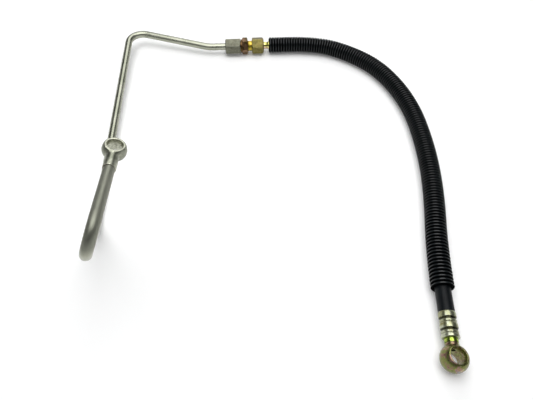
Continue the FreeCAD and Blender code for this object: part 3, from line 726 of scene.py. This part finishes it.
# Tints along a piece: (millimetres, colour). The union's hexagon is browner than its yellow neck.
UNION_TINTS = [(-13.0, (0.5, 0.5, 0.4)), (-3.6, (0.22, 0.20, 0.16)), (-3.2, (0.46, 0.46, 0.46)),
               (3.4, (0.46, 0.46, 0.46)), (4.2, (0.95, 1.15, 0.35)), (16.0, (0.95, 1.15, 0.45))]
# Where each hexagon has a corner, in degrees.
UNION_CORNER, PIPE_NUT_CORNER, HOSE_NUT_CORNER = 55.2, 25.2, 39.2

union_skin = turned("union_body_threaded", union_place, union_outline(UNION_CORNER),
                    hex_angles(UNION_CORNER))
union_chromate = plated("union_chromate", COPPER_BROWN, (0.42, 0.26, 0.17), rough=(0.24, 0.40),
                        tints=UNION_TINTS)
dress(union_skin, union_chromate, "union_chromate", "union", "union_body")
pipe_nut = turned("pipe_nut_threaded", union_place,
                  nut_outline(-1, near=5.5, far=23.7, seat=15.05, corner=PIPE_NUT_CORNER,
                              far_chamfer=7.5),
                  hex_angles(PIPE_NUT_CORNER))
dress(pipe_nut, plated("nut_zinc", ZINC, (0.40, 0.40, 0.33), rough=(0.44, 0.58)), "nut_zinc",
      "nut_on_pipe", "pipe_nut")
hose_nut = turned("hose_nut_threaded", union_place,
                  nut_outline(1, near=8.5, far=22.7, seat=19.29, corner=HOSE_NUT_CORNER,
                              far_chamfer=7.2),
                  hex_angles(HOSE_NUT_CORNER))
dress(hose_nut, plated("nut_chromate", GOLD_OLIVE, (0.42, 0.36, 0.16), rough=(0.34, 0.5)),
      "nut_chromate", "nut_on_hose", "hose_nut")

# ---- the nipples and ferrules -------------------------------------------------------------------


def cone_radius(depth):
    """The radius of a piece in a 24 degree cone, at a depth from the cone's mouth."""
    return CONE_MOUTH - CONE_SLOPE * depth - CONE_GAP


def tail_lands(start, sign):
    """The grooves of a hose tail, which grip the liner."""
    lands = []
    for k in range(3):
        groove = start + sign * 4.2 * k
        lands += [(groove, TAIL_CREST), (groove, TAIL_GROOVE)]
        lands += [(groove + sign * 2.6, TAIL_GROOVE), (groove + sign * 3.4, TAIL_CREST)]
    return lands


def hose_nipple_outline():
    """The nipple on the union's side: cone and seal's groove, shoulder, stem, bead, collar and tail."""
    end = UNION_HOSE_END
    lip = FERRULE_START
    collar_end = lip + FERRULE_LIP + 1.0
    tip, seal_start, seal_end, seal_root = 10.95, 13.1, 14.8, 2.9
    outline = [(tip, NIPPLE_BORE, 0.1), (tip, cone_radius(end - tip), 0.25)]
    outline += [(seal_start, cone_radius(end - seal_start), 0.1), (seal_start, seal_root)]
    outline += [(seal_end, seal_root), (seal_end, cone_radius(end - seal_end), 0.1)]
    outline.append((17.6, cone_radius(0), 0.1))
    outline += [(18.2, 5.8, 0.15), (19.4, 5.8, 0.15), (21.2, STEM, 0.3), (25.4, STEM, 0.5)]
    outline += [(26.3, 3.5, 0.6), (28.2, 4.7, 0.5), (lip - 0.02, 4.7, 0.1), (lip - 0.02, STEM - 0.02)]
    outline += [(lip + FERRULE_LIP, STEM - 0.02), (lip + FERRULE_LIP + 0.02, NIPPLE_COLLAR)]
    outline += [(collar_end, NIPPLE_COLLAR), (collar_end, TAIL_CREST)] + tail_lands(lip + 5.2, 1)
    outline.append((lip + FERRULE_LENGTH - 1.5, TAIL_TIP, 0.2))
    outline.append((lip + FERRULE_LENGTH - 1.5, NIPPLE_BORE))
    return outline


def lower_nipple_outline():
    """The nipple at the eye, from the tip of its tail over the neck to the spigot in the eye."""
    lip = FERRULE_LENGTH - FERRULE_LIP
    neck_end, spigot_end, neck, spigot = 23.48, 26.6, 5.15, 3.5
    outline = [(1.5, NIPPLE_BORE), (1.5, TAIL_TIP, 0.2)] + tail_lands(FERRULE_LENGTH - 5.2, -1)[::-1]
    outline += [(lip - 1.0, TAIL_CREST), (lip - 1.0, NIPPLE_COLLAR), (lip - 0.02, NIPPLE_COLLAR)]
    outline += [(lip, STEM - 0.02), (FERRULE_LENGTH + 0.02, STEM - 0.02)]
    outline += [(FERRULE_LENGTH + 0.02, neck, 0.3), (neck_end, neck, 0.25), (neck_end, spigot)]
    outline += [(spigot_end, spigot, 0.2), (spigot_end, NIPPLE_BORE)]
    return outline


def crimp(radius, depth=0.10):
    """A ring that eight crimping jaws have pressed: flatter between the jaws' edges."""
    return lambda angle: radius - depth * (1 - abs(math.cos(4 * angle))) ** 2


def jaw_ridge(radius, height=0.22):
    """A crimp groove, with a low ridge where two jaws met."""
    return lambda angle: radius + height * max(0.0, (abs(math.cos(4 * angle)) - 0.93) / 0.07)


def ferrule_outline():
    """A crimped ferrule from its mouth, at 0, to its lip."""
    outline = [(0, 5.42, 0.1), (0, 6.42, 0.2), (0.7, crimp(6.72), 0.4), (2.4, crimp(6.8), 0.6)]
    for start in (0.0, 8.6):
        outline += [
            (start + 4.1, crimp(6.74), 0.5),
            (start + 5.0, jaw_ridge(6.0), 0.35),
            (start + 6.1, jaw_ridge(6.0), 0.3),
            (start + 6.5, crimp(6.4), 0.2),
            (start + 7.7, crimp(6.4), 0.2),
            (start + 8.1, jaw_ridge(6.0), 0.2),
            (start + 9.2, crimp(6.72), 0.5),
        ]
        if start == 0.0:
            outline.append((11.0, crimp(6.8), 0.6))
    outline += [(FERRULE_LENGTH - 0.5, crimp(6.8), 0.3), (FERRULE_LENGTH, 6.3, 0.25)]
    outline += [(FERRULE_LENGTH, STEM, 0.15), (FERRULE_LENGTH - FERRULE_LIP, STEM)]
    outline.append((FERRULE_LENGTH - FERRULE_LIP, 5.35))
    return outline


PALE_GOLD = [(0.28, (0.19, 0.17, 0.07)), (0.45, (0.33, 0.34, 0.21)), (0.58, (0.44, 0.46, 0.36)),
             (0.72, (0.31, 0.36, 0.15)), (0.84, (0.36, 0.25, 0.16))]
PINK_GOLD = [(0.28, (0.30, 0.22, 0.05)), (0.45, (0.55, 0.56, 0.13)), (0.60, (0.64, 0.44, 0.33)),
             (0.76, (0.42, 0.26, 0.18))]
LIME = [(0.30, (0.10, 0.18, 0.008)), (0.52, (0.16, 0.26, 0.012)), (0.76, (0.27, 0.30, 0.055))]
# Painted shade in the ferrule's crimped grooves, from its mouth.
UNSHADED, HALF_SHADE, DEEP_SHADE = (1.0, 1.0, 1.0), (0.45, 0.42, 0.36), (0.10, 0.095, 0.08)
GROOVE_SHADE = [(0.0, UNSHADED), (4.1, UNSHADED), (4.7, DEEP_SHADE), (6.0, DEEP_SHADE), (6.5, UNSHADED), (7.7, UNSHADED),
           (8.3, HALF_SHADE), (9.2, UNSHADED), (12.7, UNSHADED), (13.3, DEEP_SHADE), (14.6, DEEP_SHADE), (15.1, UNSHADED),
           (16.3, UNSHADED), (16.9, HALF_SHADE), (17.8, UNSHADED), (20.2, UNSHADED)]

nipple = turned("hose_nipple_turned", union_place, hose_nipple_outline())
dress(nipple, plated("nipple_chromate", PINK_GOLD, (0.75, 0.62, 0.42), rough=(0.14, 0.26)),
      "nipple_chromate", "hose", "hose_nipple")
# The ferrule's tints along it are painted shade in its grooves.
ferrule_zinc = plated("ferrule_zinc", PALE_GOLD, (0.62, 0.62, 0.48), rough=(0.24, 0.38),
                      patch_scale=190, tints=GROOVE_SHADE)
upper_place = along_axis(mouth_upper, -first_run, UP.cross(-first_run).normalized())
upper_ferrule = turned("upper_ferrule_crimped", upper_place, ferrule_outline(), FINE_ROUND)
dress(upper_ferrule, ferrule_zinc, "ferrule_zinc", "hose", "upper_ferrule")
lower_place = along_axis(mouth_lower, last_run, UP.cross(last_run).normalized())
lower_ferrule = turned("lower_ferrule_crimped", lower_place, ferrule_outline(), FINE_ROUND)
dress(lower_ferrule, ferrule_zinc, "ferrule_zinc", "hose", "lower_ferrule")
lower_nipple = turned("lower_nipple_turned", lower_place, lower_nipple_outline())
dress(lower_nipple, plated("neck_chromate", LIME, (0.48, 0.56, 0.14), rough=(0.12, 0.24), grain=0.06),
      "neck_chromate", "hose", "lower_nipple")

# ---- the banjo eyes -----------------------------------------------------------------------------


def arc(centre, radius, start, end, count):
    """Points on an arc of a drawing, angles in degrees."""
    points = []
    for k in range(count + 1):
        angle = math.radians(start + (end - start) * k / count)
        points.append((centre[0] + radius * math.cos(angle), centre[1] + radius * math.sin(angle)))
    return points


def solid_skin(name, place, outline, angles):
    """A turned solid whose outline starts and ends on its axis."""
    verts, faces = [], []
    ends = []
    for x in (outline[0][0], outline[-1][0]):
        ends.append(place(x)[0])
    rings = outline[1:-1]
    for angle in angles:
        for x, r in rings:
            centre, side, lift = place(x)
            verts.append(centre + (side * math.cos(angle) + lift * math.sin(angle)) * r * MM)
    first, last = len(verts), len(verts) + 1
    verts += ends
    per_row = len(rings)
    for a in range(len(angles)):
        here = a * per_row
        beside = (a + 1) % len(angles) * per_row
        for k in range(per_row - 1):
            faces.append((here + k, here + k + 1, beside + k + 1, beside + k))
        faces.append((first, here, beside))
        faces.append((last, beside + per_row - 1, here + per_row - 1))
    mesh = bpy.data.meshes.new(name)
    mesh.from_pydata(verts, [], faces)
    return finished(name, mesh)


def banjo_eye(name, centre, bore_axis, towards_stub, *, ball, half, bore, stub, stub_end, socket,
              socket_start, fillet):
    """A forged eye: a ball that flows into its stub, cut by two flat faces and a bolt hole.

    Ball, bore, stub, socket and fillet are radii, half is half the width between the faces, and the
    stub's end and the socket's start are distances from the eye's centre.
    """
    stub_axis = (towards_stub - bore_axis * towards_stub.dot(bore_axis)).normalized()
    # The fillet's centre, in the plane of the stub's axis: it touches the ball and the stub.
    high = stub + fillet
    reach = math.sqrt((ball + fillet) ** 2 - high**2)
    touch = math.degrees(math.atan2(high, reach))
    outline = [(-ball, 0)] + arc((0, 0), ball, 176, touch, 40)
    outline += arc((reach, high), fillet, 180 + touch, 270, 8)[1:]
    outline += [(stub_end - 0.35, stub), (stub_end - 0.1, stub - 0.08), (stub_end, stub - 0.3)]
    outline += [(stub_end, socket), (socket_start, socket), (socket_start, 2.0), (1.0, 2.0), (1.0, 0)]
    side = bore_axis.cross(stub_axis).normalized()
    stub_place = along_axis(centre, stub_axis, side)
    body = solid_skin(name, stub_place, outline, FINE_ROUND)
    # The eye is what lies inside this ring: outside the bolt hole and between the two faces, whose
    # rims are chamfered.
    face = math.sqrt(ball**2 - half**2)
    wide = ball + 25.0
    ring = [(half, face - 0.35), (half - 0.10, face - 0.05), (half - 0.32, face + 0.22)]
    ring += [(half - 0.32, wide), (-half + 0.32, wide)]
    ring += [(-half + 0.32, face + 0.22), (-half + 0.10, face - 0.05), (-half, face - 0.35)]
    ring += [(-half, bore + 0.45), (-half + 0.08, bore + 0.2), (-half + 0.45, bore)]
    ring += [(half - 0.45, bore), (half - 0.08, bore + 0.2), (half, bore + 0.45)]
    cutter = turned(f"{name}_cutter", along_axis(centre, bore_axis, side), ring, FINE_ROUND)
    common = body.modifiers.new("common", "BOOLEAN")
    common.operation = "INTERSECT"
    common.solver = "EXACT"
    common.object = cutter
    bpy.context.view_layer.update()
    mesh = bpy.data.meshes.new_from_object(body.evaluated_get(bpy.context.evaluated_depsgraph_get()))
    bpy.data.objects.remove(body)
    bpy.data.objects.remove(cutter)
    mesh.name = name
    return finished(name, mesh, sharp=30)


def mount_place(name):
    """A bore mount's centre and its axis, pointing up."""
    mount = mounts[name]
    return Vector(mount["pos_m"]), Vector(mount["axis"]).normalized()


OLIVE_ZINC = [(0.28, (0.15, 0.16, 0.12)), (0.46, (0.22, 0.23, 0.18)), (0.62, (0.29, 0.30, 0.24)),
              (0.78, (0.44, 0.44, 0.34))]
IRIDESCENT = [(0.28, (0.05, 0.045, 0.02)), (0.38, (0.24, 0.14, 0.11)), (0.45, (0.17, 0.19, 0.06)),
              (0.53, (0.19, 0.20, 0.06)), (0.58, (0.33, 0.19, 0.15)), (0.72, (0.17, 0.20, 0.21))]

pipe_eye_centre, pipe_eye_bore = mount_place("pipe_eye_bore")
braze_low, braze_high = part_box("pipe_braze_ring")
leg = ((braze_low + braze_high) / 2 - pipe_eye_centre).normalized()
pipe_eye = banjo_eye("pipe_banjo_eye_forged", pipe_eye_centre, pipe_eye_bore, leg,
                     ball=8.7, half=5.0, bore=5.6, stub=4.6, stub_end=20.0, socket=4.02,
                     socket_start=13.5, fillet=2.2)
eye_zinc = plated("eye_zinc", OLIVE_ZINC, (0.80, 0.80, 0.66), rough=(0.26, 0.42), patch_scale=220)
dress(pipe_eye, eye_zinc, "eye_zinc", "pipe", "pipe_banjo_eye")

hose_eye_centre, hose_eye_bore = mount_place("hose_eye_bore")
hose_eye = banjo_eye("hose_banjo_eye_forged", hose_eye_centre, hose_eye_bore, -last_run,
                     ball=10.3, half=7.5, bore=6.05, stub=5.15, stub_end=10.9, socket=3.52,
                     socket_start=8.2, fillet=0.9)
eye_chromate = plated("eye_chromate", IRIDESCENT, (0.52, 0.54, 0.24), rough=(0.20, 0.36),
                      patch_scale=150)
dress(hose_eye, eye_chromate, "eye_chromate", "hose", "hose_banjo_eye")

# ---- the CAD nodes that stay --------------------------------------------------------------------

BRAZE = [(0.3, (0.025, 0.020, 0.015)), (0.5, (0.05, 0.035, 0.025)), (0.7, (0.09, 0.055, 0.035))]
braze = plated("braze", BRAZE, (0.14, 0.09, 0.06), rough=(0.4, 0.6))
seal = rubber("seal_rubber", (0.015, 0.015, 0.016), (0.35, 0.5))
ring_zinc = plated("ring_zinc", ZINC, (0.8, 0.8, 0.78), rough=(0.2, 0.34))
carried = {
    "steel_pipe": pipe_steel(),
    "pipe_braze_ring": braze,
    "lower_braze_ring": braze,
    "cutting_ring": ring_zinc,
    "nipple_o_ring": seal,
}
for name, material in carried.items():
    nodes[name].data.materials.clear()
    nodes[name].data.materials.append(material)

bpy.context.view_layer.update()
